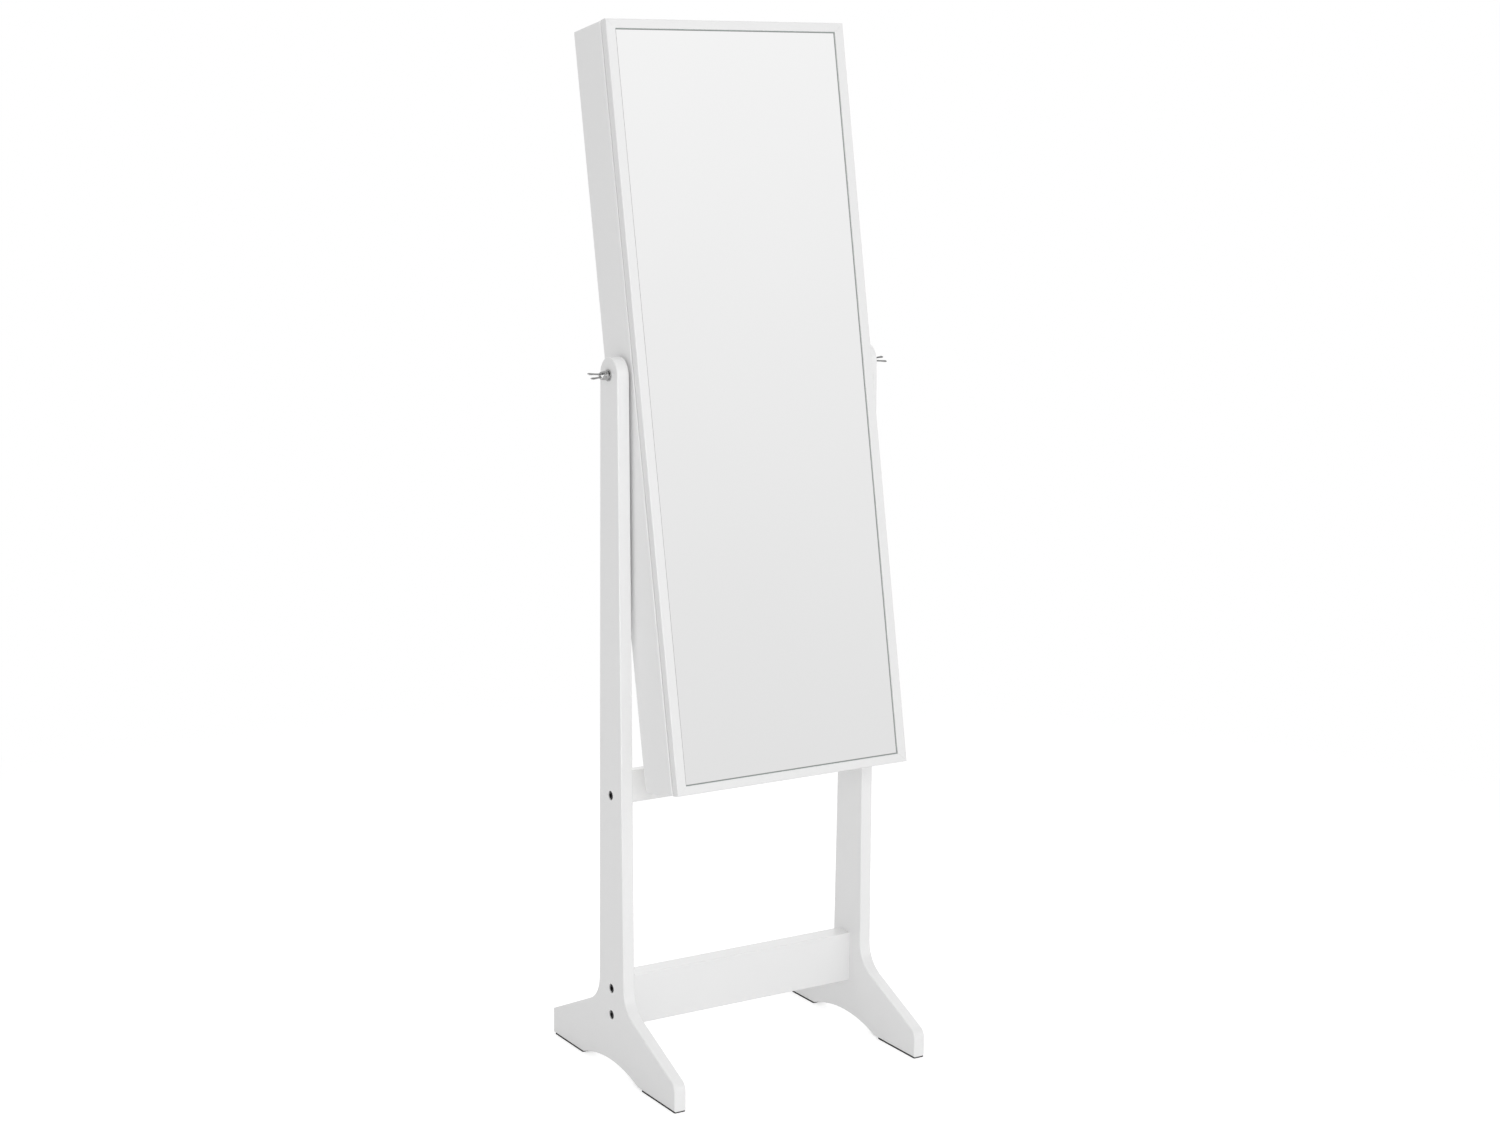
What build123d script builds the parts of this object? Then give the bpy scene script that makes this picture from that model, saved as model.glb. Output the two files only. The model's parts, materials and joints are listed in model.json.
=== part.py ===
"""Cheval mirror with a jewellery cabinet: the mirror is the door of a shallow cabinet that
tilts between two side frames.

Millimetres, +Z up, the front faces -Y. The origin is on the floor, midway between the side
frames and under the line of the pivot. The cabinet is laid out in its own leaning frame:
depth runs from the pivot line towards its back, and rise runs up along its sides.
"""

import os
from math import cos, radians, sin, tan

from build123d import *

os.makedirs("parts", exist_ok=True)

# ---- driving dimensions: stand
stand_width = 420.0          # over the outer faces of the side frames
side_thickness = 18.0
foot_depth = 358.0           # front tip to rear tip
foot_tip_height = 39.5       # top of a tip above the floor, before rounding
foot_slope = 24.5            # degrees, top of the foot
foot_tip_round = 16.0
foot_post_round = 48.0       # hollow curve from foot to post
arch_front = 75.0            # from the middle of the foot to the front end of the arch
arch_rear = 87.0
arch_height = 15.0
pad_thickness = 2.0
pad_inset = 0.4              # from the sides and the front tip of the foot
pad_corner = 2.0
front_pad_length = 93.0
rear_pad_length = 86.0
rear_pad_inset = 4.5         # from the rear tip
post_base_width = 74.0       # its tapering edges carried down to the floor
post_top_width = 49.0        # at the pivot, where the round top starts
frame_edge_round = 1.6       # on the side frames
edge_round = 1.0
rail_thickness = 15.0
lower_rail_bottom = 68.0
lower_rail_height = 74.5
middle_rail_bottom = 397.5
middle_rail_height = 46.0
lower_bolt_offsets = (18.5, 58.0)     # above the lower rail's bottom edge
middle_bolt_offset = 12.5    # above the middle rail's bottom edge
lower_dowel_offset = 38.0
middle_dowel_offset = 32.5

# ---- driving dimensions: fasteners of the stand
bolt_diameter = 6.0
bolt_head_diameter = 12.5
bolt_head_height = 4.5
bolt_head_sunk = 0.4         # below the face of the side frame
bolt_head_round = 2.2        # on the rim of the domed head
bolt_head_clearance = 0.4
hex_key = 5.0                # across flats
hex_key_depth = 3.0
bolt_reach = 42.0            # past the inner face, into the rail
barrel_nut_diameter = 10.0
barrel_nut_sunk = 1.0        # below both faces of the rail
barrel_nut_inset = 34.0      # from the rail's end to the nut's axis
barrel_nut_slot = 1.5
stand_dowel_diameter = 8.0
stand_dowel_length = 30.0
stand_dowel_in_side = 11.0

# ---- driving dimensions: pivot
pivot_height = 995.0
rest_tilt = 10.8             # degrees that the cabinet leans back
pivot_screw_diameter = 6.0
pivot_running_gap = 0.08     # on the radius, around the screw
insert_diameter = 10.0
insert_floor = 1.0           # wood left inside the insert
screw_end_gap = 1.0          # from the screw's end to the insert's
spacer_diameter = 22.0
spacer_hole_gap = 0.4
washer_diameter = 16.0
washer_thickness = 1.5
washer_gap = 0.1             # between washer and boss
wing_boss_diameter = 12.6
wing_boss_length = 11.5
wing_boss_taper = 4.0        # degrees
wing_length = 16.6           # past the boss
wing_width = 4.4
wing_thickness = 2.6
wing_root_offset = 3.4       # from the screw's axis
wing_tip_offset = 5.2
wing_rest_angle = 30.0       # degrees that the front wing points down at rest
free_gap = 0.3               # between pieces that move past each other

# ---- driving dimensions: cabinet
cabinet_side_gap = 3.8       # from the cabinet to each post
cabinet_depth = 74.8         # without the door
cabinet_above = 465.0        # from the pivot to its top
cabinet_below = 572.0        # from the pivot to its bottom
pivot_to_back = 47.6
panel_thickness = 12.0
case_edge_round = 1.5        # on the outer faces of the sides
back_corner_round = 11.0
back_panel_thickness = 3.0
back_panel_recess = 8.0
back_panel_groove = 5.0
lining_thickness = 1.5
corner_dowel_diameter = 6.0
corner_dowel_length = 26.0
corner_dowel_in_side = 9.0
corner_dowel_depths = (-12.0, 22.0)

# ---- driving dimensions: what the cabinet holds
shelf_thickness = 9.0
shelf_depth = 40.0
upper_shelf_from_top = 130.0 # to the shelf's upper face
ring_shelf_from_top = 260.0
lower_shelf_from_bottom = 117.0
lip_thickness = 5.0
lip_height = 26.0
shelf_dowel_diameter = 5.0
shelf_dowel_length = 18.0
shelf_dowel_in_side = 7.0
shelf_dowel_spacing = 22.0
cushion_height = 24.0
cushion_front_gap = 4.0      # from the ring shelf's front edge
cushion_end_gap = 1.5
cushion_corner = 5.0
earring_plate_margin = 16.2  # to the case's sides
earring_plate_height = 108.0
earring_plate_thickness = 2.0
earring_plate_from_top = 347.0
earring_plate_standoff = 13.0
standoff_diameter = 7.0
standoff_inset = 8.0
slot_margin = 15.0           # at the plate's ends
slot_rows = 4
slot_pitch_across = 14.5
slot_pitch_up = 25.0
slot_length = 9.0
slot_width = 2.2
necklace_rail_from_top = 430.0
necklace_rail_height = 14.0
necklace_rail_thickness = 8.0
necklace_hook_count = 14
hook_wire = 2.4
hook_reach = 16.0
hook_rise = 8.0
hook_bend = 3.5
bracelet_rod_diameter = 10.0
bracelet_rod_from_bottom = 182.0
bracelet_rod_depth = 6.0
rod_cup_diameter = 18.0
rod_cup_length = 8.0
rod_cup_floor = 2.0

# ---- driving dimensions: door
door_thickness = 13.6
stile_width = 14.0
door_rail_width = 12.5
glass_lip = 4.0              # how far the frame covers the glass
lip_front_thickness = 2.5
door_edge_round = 1.6
door_inner_round = 0.8
door_back_round = 1.0
mitre_bevel = 0.3            # on the front edges of each mitre
glass_thickness = 4.0
glass_gap = 0.5
tape_thickness = 1.0
tape_width = 20.0
tape_count = 4
tape_end_gap = 50.0
backing_thickness = 3.0
door_lining_thickness = 1.0
door_hook_rail_from_top = 65.0
door_hook_rail_margin = 13.2 # to the edges of the door's lining
door_hook_rail_height = 12.0
door_hook_rail_thickness = 6.0
door_hook_count = 12
door_hook_reach = 11.0

# ---- driving dimensions: hinges and catches
leaf_thickness = 1.2
leaf_gap = 0.1
leaf_width = 9.5
hinge_length = 45.0
hinge_from_end = 85.0        # from the door's top or bottom to a hinge's middle
knuckle_diameter = 3.2       # less than the gap beside the cabinet
knuckle_count = 5
knuckle_end_gap = 0.3
knuckle_side_gap = 0.2       # from the side of the cabinet
hinge_pin_diameter = 1.6
hinge_pin_gap = 0.05
hinge_screw_diameter = 2.4
hinge_screw_head = 4.6
hinge_screw_head_height = 1.2
hinge_screw_length = 10.0
hinge_screw_spacing = 30.0
catch_from_top = 195.0
catch_from_bottom = 242.0
catch_height = 30.0
catch_width = 10.0
catch_depth = 12.0
magnet_height = 20.0
magnet_width = 6.0
magnet_depth = 4.0
magnet_proud = 1.4           # in front of the cabinet's front edge
strike_height = 34.0
strike_width = 14.0
bumper_diameter = 7.0
bumper_thickness = 1.2
bumper_from_end = 40.0

# ---- places that follow from the driving dimensions
stand_half = stand_width / 2
side_inner = stand_half - side_thickness
foot_half = foot_depth / 2
lower_bolt_heights = [lower_rail_bottom + offset for offset in lower_bolt_offsets]
bolt_heights = lower_bolt_heights + [middle_rail_bottom + middle_bolt_offset]
dowel_heights = (lower_rail_bottom + lower_dowel_offset, middle_rail_bottom + middle_dowel_offset)
barrel_nut_length = rail_thickness - 2 * barrel_nut_sunk
insert_length = panel_thickness - insert_floor
cabinet_half = side_inner - cabinet_side_gap
inner_half = cabinet_half - panel_thickness
case_corner_round = min(back_corner_round, panel_thickness - edge_round)
body_back = pivot_to_back
body_front = body_back - cabinet_depth
seam = 2 * leaf_thickness + leaf_gap
door_back = body_front - seam
door_front = door_back - door_thickness
back_panel_back = body_back - back_panel_recess
back_panel_front = back_panel_back - back_panel_thickness
lining_front = back_panel_front - lining_thickness
floor_rise = -cabinet_below + panel_thickness
ceiling_rise = cabinet_above - panel_thickness
body_middle = (body_front + body_back) / 2
rise_middle = (cabinet_above - cabinet_below) / 2
cabinet_height = cabinet_above + cabinet_below
inner_height = ceiling_rise - floor_rise
lip_back = door_front + lip_front_thickness
glass_back = lip_back + glass_thickness
tape_back = glass_back + tape_thickness
backing_back = tape_back + backing_thickness
door_lining_back = backing_back + door_lining_thickness
upper_rise = cabinet_above - upper_shelf_from_top
ring_rise = cabinet_above - ring_shelf_from_top
lower_rise = -cabinet_below + lower_shelf_from_bottom
shelf_rises = (upper_rise, ring_rise, lower_rise)
cushion_depth = shelf_depth - cushion_front_gap
earring_plate_width = 2 * (inner_half - earring_plate_margin)
earring_plate_rise = cabinet_above - earring_plate_from_top
slot_columns = int((earring_plate_width - 2 * slot_margin) / slot_pitch_across)
necklace_rail_rise = cabinet_above - necklace_rail_from_top
bracelet_rod_rise = -cabinet_below + bracelet_rod_from_bottom
rebate_half = cabinet_half - stile_width + glass_lip
door_hook_rail_rise = cabinet_above - door_hook_rail_from_top
door_hook_rail_width = 2 * (rebate_half - door_hook_rail_margin)
strike_across = max(-inner_half + catch_width / 2, -rebate_half + strike_width / 2)
catch_rises = (cabinet_above - catch_from_top, -cabinet_below + catch_from_bottom)
hinge_rises = (cabinet_above - hinge_from_end, rise_middle, -cabinet_below + hinge_from_end)
hinge_across = cabinet_half + knuckle_side_gap + knuckle_diameter / 2
hinge_depth = body_front - seam / 2

tilt = radians(rest_tilt)
lean_up = Vector(0, sin(tilt), cos(tilt))
lean_back = Vector(0, cos(tilt), -sin(tilt))
pivot = Vector(0, 0, pivot_height)
rise_axis = Axis(pivot, lean_up)
depth_axis = Axis(pivot, lean_back)


# ---- planes to build on
def side_plane(distance, side):
    """Upright plane that faces outward on one side (-1 left, 1 right): outward Y, height."""
    return Plane(origin=(side * distance, 0, 0), x_dir=(0, side, 0), z_dir=(side, 0, 0))


def leaning_side(distance, side):
    """Outward plane of the leaning cabinet: outward depth, rise, from the pivot line."""
    origin = pivot + Vector(side * distance, 0, 0)
    return Plane(origin=origin, x_dir=lean_back * side, z_dir=(side, 0, 0))


def leaning_front(depth):
    """Plane of the leaning cabinet that faces its front: across, rise."""
    return Plane(origin=pivot + lean_back * depth, x_dir=(1, 0, 0), z_dir=lean_back * -1)


def leaning_level(rise):
    """Plane square to the leaning cabinet's sides, facing up: across, depth."""
    return Plane(origin=pivot + lean_up * rise, x_dir=(1, 0, 0), z_dir=lean_up)


def save(piece, name):
    """Label a finished piece and write it."""
    piece.part.label = name
    export_step(piece.part, f"parts/{name}.step")


def places(count, spacing):
    """Evenly spaced places, centred on zero."""
    return [(index - (count - 1) / 2) * spacing for index in range(count)]


# ---- stand fasteners: socket bolts through the sides into barrel nuts, and dowels
with BuildPart() as rail_bolts:
    for side in (-1, 1):
        head_face = stand_half - bolt_head_sunk
        with BuildSketch(side_plane(head_face, side)):
            with Locations([(0, height) for height in bolt_heights]):
                Circle(bolt_head_diameter / 2)
        extrude(amount=-bolt_head_height)
        with BuildSketch(side_plane(head_face - bolt_head_height, side)):
            with Locations([(0, height) for height in bolt_heights]):
                Circle(bolt_diameter / 2)
        extrude(amount=-(head_face - bolt_head_height - side_inner + bolt_reach))
        outermost = 0 if side < 0 else -1
        fillet(rail_bolts.edges().group_by(Axis.X)[outermost], bolt_head_round)
        with BuildSketch(side_plane(head_face, side)):
            with Locations([(0, height) for height in bolt_heights]):
                RegularPolygon(hex_key / 2, 6, major_radius=False)
        extrude(amount=-hex_key_depth, mode=Mode.SUBTRACT)
save(rail_bolts, "rail_bolts")

nut_across = side_inner - barrel_nut_inset
with BuildPart() as barrel_nuts:
    for side in (-1, 1):
        with BuildSketch(Plane.XZ.offset(-barrel_nut_length / 2)):
            with Locations([(side * nut_across, height) for height in bolt_heights]):
                Circle(barrel_nut_diameter / 2)
        extrude(amount=barrel_nut_length)
        with BuildSketch(Plane.XZ.offset(-barrel_nut_length / 2)):
            with Locations([(side * nut_across, height) for height in bolt_heights]):
                Rectangle(2 * barrel_nut_diameter, barrel_nut_slot)
        extrude(amount=barrel_nut_slot, mode=Mode.SUBTRACT)
    add(rail_bolts.part, mode=Mode.SUBTRACT)
save(barrel_nuts, "barrel_nuts")

with BuildPart() as rail_dowels:
    for side in (-1, 1):
        with BuildSketch(side_plane(side_inner + stand_dowel_in_side, side)):
            with Locations([(0, height) for height in dowel_heights]):
                Circle(stand_dowel_diameter / 2)
        extrude(amount=-stand_dowel_length)
save(rail_dowels, "rail_dowels")


# ---- side frames: a tapered post and its arched foot cut from one board
def post_half_width(height):
    """Half the post's width at a height, by its straight taper."""
    return post_base_width / 2 - (post_base_width - post_top_width) / 2 * height / pivot_height


taper = (post_base_width - post_top_width) / 2 / pivot_height
slope = tan(radians(foot_slope))
join_height = foot_tip_height + (foot_half - post_base_width / 2) * slope
join_height = join_height / (1 - taper * slope)
join_half = post_half_width(join_height)


def side_frame(side):
    """One side frame, with its pivot hole and its holes for bolts and dowels."""
    with BuildPart() as frame:
        with BuildSketch(Plane.YZ.offset(side * (side_inner + side_thickness / 2))) as profile:
            with BuildLine():
                Polyline(
                    (-arch_front, pad_thickness),
                    (-foot_half, pad_thickness),
                    (-foot_half, foot_tip_height),
                    (-join_half, join_height),
                    (-post_top_width / 2, pivot_height),
                    (post_top_width / 2, pivot_height),
                    (join_half, join_height),
                    (foot_half, foot_tip_height),
                    (foot_half, pad_thickness),
                    (arch_rear, pad_thickness),
                )
                ThreePointArc(
                    (arch_rear, pad_thickness),
                    ((arch_rear - arch_front) / 2, pad_thickness + arch_height),
                    (-arch_front, pad_thickness),
                )
            make_face()
            with Locations((0, pivot_height)):
                Circle(post_top_width / 2)
            corners = profile.vertices()
            fillet(corners.filter_by_position(Axis.Y, join_height - 1, join_height + 1), foot_post_round)
            tips = profile.vertices().filter_by_position(Axis.Y, foot_tip_height - 1, foot_tip_height + 1)
            fillet(tips.sort_by(Axis.X)[0], foot_tip_round)
        extrude(amount=side_thickness / 2, both=True)
        fillet(frame.faces().filter_by(Axis.X).edges(), frame_edge_round)
        with BuildSketch(side_plane(side_inner, side)):
            with Locations((0, pivot_height)):
                Circle(pivot_screw_diameter / 2 + pivot_running_gap)
        extrude(amount=side_thickness, mode=Mode.SUBTRACT)
        with BuildSketch(side_plane(stand_half, side)):
            with Locations([(0, height) for height in bolt_heights]):
                Circle(bolt_head_diameter / 2 + bolt_head_clearance)
        extrude(amount=-(bolt_head_sunk + bolt_head_height), mode=Mode.SUBTRACT)
        add(rail_bolts.part, mode=Mode.SUBTRACT)
        add(rail_dowels.part, mode=Mode.SUBTRACT)
    return frame


left_side_frame = side_frame(-1)
save(left_side_frame, "left_side_frame")
right_side_frame = side_frame(1)
save(right_side_frame, "right_side_frame")


# ---- foot pads: thin black strips under both ends of each foot
def foot_pads(side):
    """The front and rear pad of one foot."""
    across = side * (side_inner + side_thickness / 2)
    pad_width = side_thickness - 2 * pad_inset
    with BuildPart() as pads:
        with BuildSketch():
            with Locations((across, -foot_half + pad_inset + front_pad_length / 2)):
                RectangleRounded(pad_width, front_pad_length, pad_corner)
            with Locations((across, foot_half - rear_pad_inset - rear_pad_length / 2)):
                RectangleRounded(pad_width, rear_pad_length, pad_corner)
        extrude(amount=pad_thickness)
    return pads


left_foot_pads = foot_pads(-1)
save(left_foot_pads, "left_foot_pads")
right_foot_pads = foot_pads(1)
save(right_foot_pads, "right_foot_pads")


# ---- rails between the side frames
def rail(front, bottom, height, eased):
    """A rail board from one side frame to the other, with its nut and bolt holes.

    eased picks the edges that show: the groups of its long edges, counted from the front.
    """
    with BuildPart() as board:
        with BuildSketch(Plane.YZ.offset(-side_inner)):
            with Locations((front, bottom)):
                Rectangle(rail_thickness, height, align=(Align.MIN, Align.MIN))
        extrude(amount=2 * side_inner)
        long_edges = board.edges().filter_by(Axis.X).group_by(Axis.Y)
        fillet([edge for group in eased for edge in long_edges[group]], edge_round)
        with BuildSketch(Plane.XZ.offset(barrel_nut_length / 2)):
            with Locations([(side * nut_across, height) for side in (-1, 1) for height in bolt_heights]):
                Circle(barrel_nut_diameter / 2)
        extrude(amount=-(barrel_nut_length / 2 + 2 * rail_thickness), mode=Mode.SUBTRACT)
        add(rail_bolts.part, mode=Mode.SUBTRACT)
        add(rail_dowels.part, mode=Mode.SUBTRACT)
    return board


rail_front = -rail_thickness / 2
lower_rail = rail(rail_front, lower_rail_bottom, lower_rail_height, (0,))
save(lower_rail, "lower_rail")
lower_rail_backer = rail(-rail_front, lower_rail_bottom, lower_rail_height, (-1,))
save(lower_rail_backer, "lower_rail_backer")
middle_rail = rail(rail_front, middle_rail_bottom, middle_rail_height, (0, -1))
save(middle_rail, "middle_rail")


# ---- pivot: wing screws through the posts into threaded inserts in the cabinet's sides
washer_inner_face = stand_half + free_gap
boss_base = washer_inner_face + washer_thickness + washer_gap
screw_end = cabinet_half - insert_length + screw_end_gap
wing_plane_x = boss_base + wing_boss_length


def wing_screw(side):
    """Screw with a round boss and two flat wings."""
    with BuildPart() as screw:
        with BuildSketch(side_plane(screw_end, side)):
            with Locations((0, pivot_height)):
                Circle(pivot_screw_diameter / 2)
        extrude(amount=boss_base - screw_end)
        with BuildSketch(side_plane(boss_base, side)):
            with Locations((0, pivot_height)):
                Circle(wing_boss_diameter / 2)
        extrude(amount=wing_boss_length, taper=wing_boss_taper)
        wing_normal = (0, -sin(radians(wing_rest_angle)), cos(radians(wing_rest_angle)))
        wings = Plane(origin=(side * wing_plane_x, 0, pivot_height), x_dir=(side, 0, 0), z_dir=wing_normal)
        with BuildSketch(wings):
            for end in (-1, 1):
                reach = wing_length - wing_width / 2
                root = (-wing_width, end * wing_root_offset)
                tip = (reach, end * wing_tip_offset)
                with BuildLine():
                    wing_line = Line(root, tip)
                SlotArc(wing_line, wing_width)
        extrude(amount=wing_thickness / 2, both=True)
    return screw


def washer(side):
    """Flat washer between the wing screw's boss and the post."""
    with BuildPart() as ring:
        with BuildSketch(side_plane(washer_inner_face, side)):
            with Locations((0, pivot_height)):
                Circle(washer_diameter / 2)
                Circle(pivot_screw_diameter / 2 + pivot_running_gap, mode=Mode.SUBTRACT)
        extrude(amount=washer_thickness)
    return ring


left_wing_screw = wing_screw(-1)
save(left_wing_screw, "left_wing_screw")
right_wing_screw = wing_screw(1)
save(right_wing_screw, "right_wing_screw")
left_washer = washer(-1)
save(left_washer, "left_washer")
right_washer = washer(1)
save(right_washer, "right_washer")

with BuildPart() as pivot_spacers:
    for side in (-1, 1):
        with BuildSketch(side_plane(cabinet_half, side)):
            with Locations((0, pivot_height)):
                Circle(spacer_diameter / 2)
                Circle(pivot_screw_diameter / 2 + spacer_hole_gap, mode=Mode.SUBTRACT)
        extrude(amount=side_inner - free_gap - cabinet_half)
save(pivot_spacers, "pivot_spacers")

with BuildPart() as pivot_inserts:
    for side in (-1, 1):
        with BuildSketch(side_plane(cabinet_half, side)):
            with Locations((0, pivot_height)):
                Circle(insert_diameter / 2)
                Circle(pivot_screw_diameter / 2 + pivot_running_gap, mode=Mode.SUBTRACT)
        extrude(amount=-insert_length)
save(pivot_inserts, "pivot_inserts")

# ---- cabinet: dowels of the case and of the shelves
top_middle = cabinet_above - panel_thickness / 2
bottom_middle = -cabinet_below + panel_thickness / 2
with BuildPart() as corner_dowels:
    for side in (-1, 1):
        with BuildSketch(leaning_side(inner_half + corner_dowel_in_side, side)):
            for rise in (top_middle, bottom_middle):
                with Locations([(side * depth, rise) for depth in corner_dowel_depths]):
                    Circle(corner_dowel_diameter / 2)
        extrude(amount=-corner_dowel_length)
save(corner_dowels, "corner_dowels")

shelf_middle = lining_front - shelf_depth / 2
with BuildPart() as shelf_dowels:
    for side in (-1, 1):
        with BuildSketch(leaning_side(inner_half + shelf_dowel_in_side, side)):
            for rise in shelf_rises:
                with Locations((side * shelf_middle, rise - shelf_thickness / 2)):
                    with GridLocations(shelf_dowel_spacing, 0, 2, 1):
                        Circle(shelf_dowel_diameter / 2)
        extrude(amount=-shelf_dowel_length)
save(shelf_dowels, "shelf_dowels")

# ---- hinges: three butt hinges on the right, with leaves in the seam
knuckle_pitch = hinge_length / knuckle_count
leaf_inner_edge = cabinet_half - leaf_width
leaf_outer_edge = hinge_across - knuckle_diameter / 2 - free_gap


def hinge_screws(front_depth, inward):
    """Countersunk screws that hold one set of leaves; inward is 1 towards the cabinet's back."""
    across = cabinet_half - leaf_width / 2
    with BuildPart() as screws:
        for rise in hinge_rises:
            for step in places(2, hinge_screw_spacing):
                with BuildSketch(leaning_front(front_depth)):
                    with Locations((across, rise + step)):
                        Circle(hinge_screw_head / 2)
                with BuildSketch(leaning_front(front_depth + inward * hinge_screw_head_height)):
                    with Locations((across, rise + step)):
                        Circle(hinge_screw_diameter / 2)
                loft()
                with BuildSketch(leaning_front(front_depth + inward * hinge_screw_head_height)):
                    with Locations((across, rise + step)):
                        Circle(hinge_screw_diameter / 2)
                extrude(amount=-inward * (hinge_screw_length - hinge_screw_head_height))
    return screws


def hinge_leaves(leaf_front, screws, own_knuckles):
    """One set of leaves: flat plates with every other knuckle of each hinge."""
    with BuildPart() as leaves:
        for rise in hinge_rises:
            start = rise - hinge_length / 2
            with BuildSketch(leaning_front(leaf_front + leaf_thickness)):
                with Locations((leaf_inner_edge, start)):
                    Rectangle(leaf_outer_edge - leaf_inner_edge, hinge_length, align=(Align.MIN, Align.MIN))
                for knuckle in own_knuckles:
                    with Locations((leaf_outer_edge, start + knuckle * knuckle_pitch + knuckle_end_gap / 2)):
                        Rectangle(
                            hinge_across - leaf_outer_edge,
                            knuckle_pitch - knuckle_end_gap,
                            align=(Align.MIN, Align.MIN),
                        )
            extrude(amount=leaf_thickness)
            for knuckle in own_knuckles:
                with BuildSketch(leaning_level(start + knuckle * knuckle_pitch + knuckle_end_gap / 2)):
                    with Locations((hinge_across, hinge_depth)):
                        Circle(knuckle_diameter / 2)
                extrude(amount=knuckle_pitch - knuckle_end_gap)
            with BuildSketch(leaning_level(start)):
                with Locations((hinge_across, hinge_depth)):
                    Circle(hinge_pin_diameter / 2 + hinge_pin_gap)
            extrude(amount=hinge_length, mode=Mode.SUBTRACT)
        add(screws.part, mode=Mode.SUBTRACT)
    return leaves


cabinet_hinge_screws = hinge_screws(body_front - leaf_thickness, 1)
save(cabinet_hinge_screws, "cabinet_hinge_screws")
door_hinge_screws = hinge_screws(door_back + leaf_thickness, -1)
save(door_hinge_screws, "door_hinge_screws")
cabinet_knuckles = range(0, knuckle_count, 2)
door_knuckles = range(1, knuckle_count, 2)
cabinet_hinge_leaves = hinge_leaves(body_front - leaf_thickness, cabinet_hinge_screws, cabinet_knuckles)
save(cabinet_hinge_leaves, "cabinet_hinge_leaves")
door_hinge_leaves = hinge_leaves(door_back, door_hinge_screws, door_knuckles)
save(door_hinge_leaves, "door_hinge_leaves")

with BuildPart() as hinge_pins:
    for rise in hinge_rises:
        with BuildSketch(leaning_level(rise - hinge_length / 2)):
            with Locations((hinge_across, hinge_depth)):
                Circle(hinge_pin_diameter / 2)
        extrude(amount=hinge_length)
save(hinge_pins, "hinge_pins")

# ---- cabinet case
with BuildPart() as cabinet_back:
    with BuildSketch(leaning_front(back_panel_back)):
        with Locations((0, rise_middle)):
            Rectangle(2 * (inner_half + back_panel_groove), inner_height + 2 * back_panel_groove)
    extrude(amount=back_panel_thickness)
save(cabinet_back, "cabinet_back")


def cabinet_side(side):
    """One side of the case, with its lower back corner rounded."""
    with BuildPart() as panel:
        with BuildSketch(leaning_side(inner_half, side)) as profile:
            with Locations((side * body_middle, rise_middle)):
                Rectangle(cabinet_depth, cabinet_height)
            low_corners = profile.vertices().group_by(Axis.Y)[0].sort_by(Axis.X)
            fillet(low_corners[-1] if side > 0 else low_corners[0], case_corner_round)
        extrude(amount=panel_thickness)
        outer_face = panel.faces().filter_by(Axis.X).sort_by(Axis.X)[-1 if side > 0 else 0]
        fillet(outer_face.edges(), case_edge_round)
        with BuildSketch(side_plane(cabinet_half, side)):
            with Locations((0, pivot_height)):
                Circle(insert_diameter / 2)
        extrude(amount=-insert_length, mode=Mode.SUBTRACT)
        for fitting in (cabinet_back, corner_dowels, shelf_dowels, cabinet_hinge_screws):
            add(fitting.part, mode=Mode.SUBTRACT)
    return panel


cabinet_left_side = cabinet_side(-1)
save(cabinet_left_side, "cabinet_left_side")
cabinet_right_side = cabinet_side(1)
save(cabinet_right_side, "cabinet_right_side")


def case_end(rise):
    """The case's top or bottom board, between its sides; rise is its lower face."""
    with BuildPart() as panel:
        with BuildSketch(leaning_level(rise)):
            with Locations((0, body_middle)):
                Rectangle(2 * inner_half, cabinet_depth)
        extrude(amount=panel_thickness)
        if rise < 0:
            low_edges = panel.edges().filter_by(Axis.X).group_by(rise_axis)[0]
            fillet(low_edges.sort_by(depth_axis)[-1], case_corner_round)
        add(cabinet_back.part, mode=Mode.SUBTRACT)
        add(corner_dowels.part, mode=Mode.SUBTRACT)
    return panel


cabinet_top = case_end(ceiling_rise)
save(cabinet_top, "cabinet_top")
cabinet_bottom = case_end(-cabinet_below)
save(cabinet_bottom, "cabinet_bottom")

with BuildPart() as cabinet_lining:
    with BuildSketch(leaning_front(back_panel_front)):
        with Locations((0, rise_middle)):
            Rectangle(2 * inner_half, inner_height)
    extrude(amount=lining_thickness)
save(cabinet_lining, "cabinet_lining")


# ---- shelves with front lips, and the ring cushion
def shelf(rise):
    """A shelf against the lining, with dowel holes in its ends; rise is its top."""
    with BuildPart() as board:
        with BuildSketch(leaning_level(rise - shelf_thickness)):
            with Locations((0, shelf_middle)):
                Rectangle(2 * inner_half, shelf_depth)
        extrude(amount=shelf_thickness)
        add(shelf_dowels.part, mode=Mode.SUBTRACT)
    return board


def shelf_lip(rise):
    """The strip on a shelf's front edge that keeps things on it."""
    with BuildPart() as strip:
        with BuildSketch(leaning_front(lining_front - shelf_depth)):
            with Locations((0, rise - shelf_thickness)):
                Rectangle(2 * inner_half, lip_height, align=(Align.CENTER, Align.MIN))
        extrude(amount=lip_thickness)
        upper_edges = strip.edges().filter_by(Axis.X).group_by(rise_axis)[-1]
        fillet(upper_edges, edge_round)
    return strip


upper_shelf = shelf(upper_rise)
save(upper_shelf, "upper_shelf")
upper_shelf_lip = shelf_lip(upper_rise)
save(upper_shelf_lip, "upper_shelf_lip")
ring_shelf = shelf(ring_rise)
save(ring_shelf, "ring_shelf")
lower_shelf = shelf(lower_rise)
save(lower_shelf, "lower_shelf")
lower_shelf_lip = shelf_lip(lower_rise)
save(lower_shelf_lip, "lower_shelf_lip")

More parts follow.
